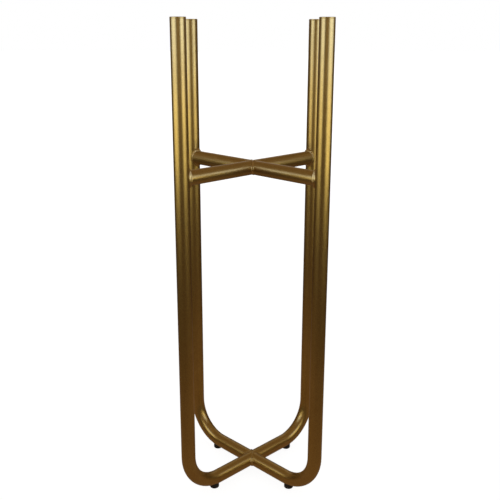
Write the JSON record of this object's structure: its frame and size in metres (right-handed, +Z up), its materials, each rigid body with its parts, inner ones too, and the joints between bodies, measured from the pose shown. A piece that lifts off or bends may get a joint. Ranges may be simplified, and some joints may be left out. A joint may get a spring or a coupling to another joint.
{
  "type": "plant stand",
  "caption": "Tall plant stand of bent round tube: crossed hoops form the legs, and a welded cross of rails carries a pot between the leg tops.",
  "frame": {"origin": "centre of the four feet, on the floor", "axes": "+Z up; -Y to the front; the legs stand at the corners of a square with its sides along X and Y, so the tubes at the floor and the rails run along its diagonals"},
  "size_m": [0.25, 0.25, 0.84],
  "materials": {
    "frame_paint": "satin",
    "weld_paint": "satin",
    "plug_plastic": "satin",
    "foot_rubber": "matte"
  },
  "bodies": {
    "root": {"main_hoop": "frame_paint", "rear_left_half_hoop": "frame_paint", "front_right_half_hoop": "frame_paint", "long_rail": "frame_paint", "rear_left_half_rail": "frame_paint", "front_right_half_rail": "frame_paint", "front_left_rail_weld": "weld_paint", "front_right_rail_weld": "weld_paint", "rear_left_rail_weld": "weld_paint", "rear_right_rail_weld": "weld_paint", "rear_left_rail_cross_weld": "weld_paint", "front_right_rail_cross_weld": "weld_paint", "rear_left_floor_cross_weld": "weld_paint", "front_right_floor_cross_weld": "weld_paint", "front_left_leg_plug": "plug_plastic", "front_right_leg_plug": "plug_plastic", "rear_left_leg_plug": "plug_plastic", "rear_right_leg_plug": "plug_plastic", "front_left_foot": "foot_rubber", "front_right_foot": "foot_rubber", "rear_left_foot": "foot_rubber", "rear_right_foot": "foot_rubber"}
  },
  "joints": []
}
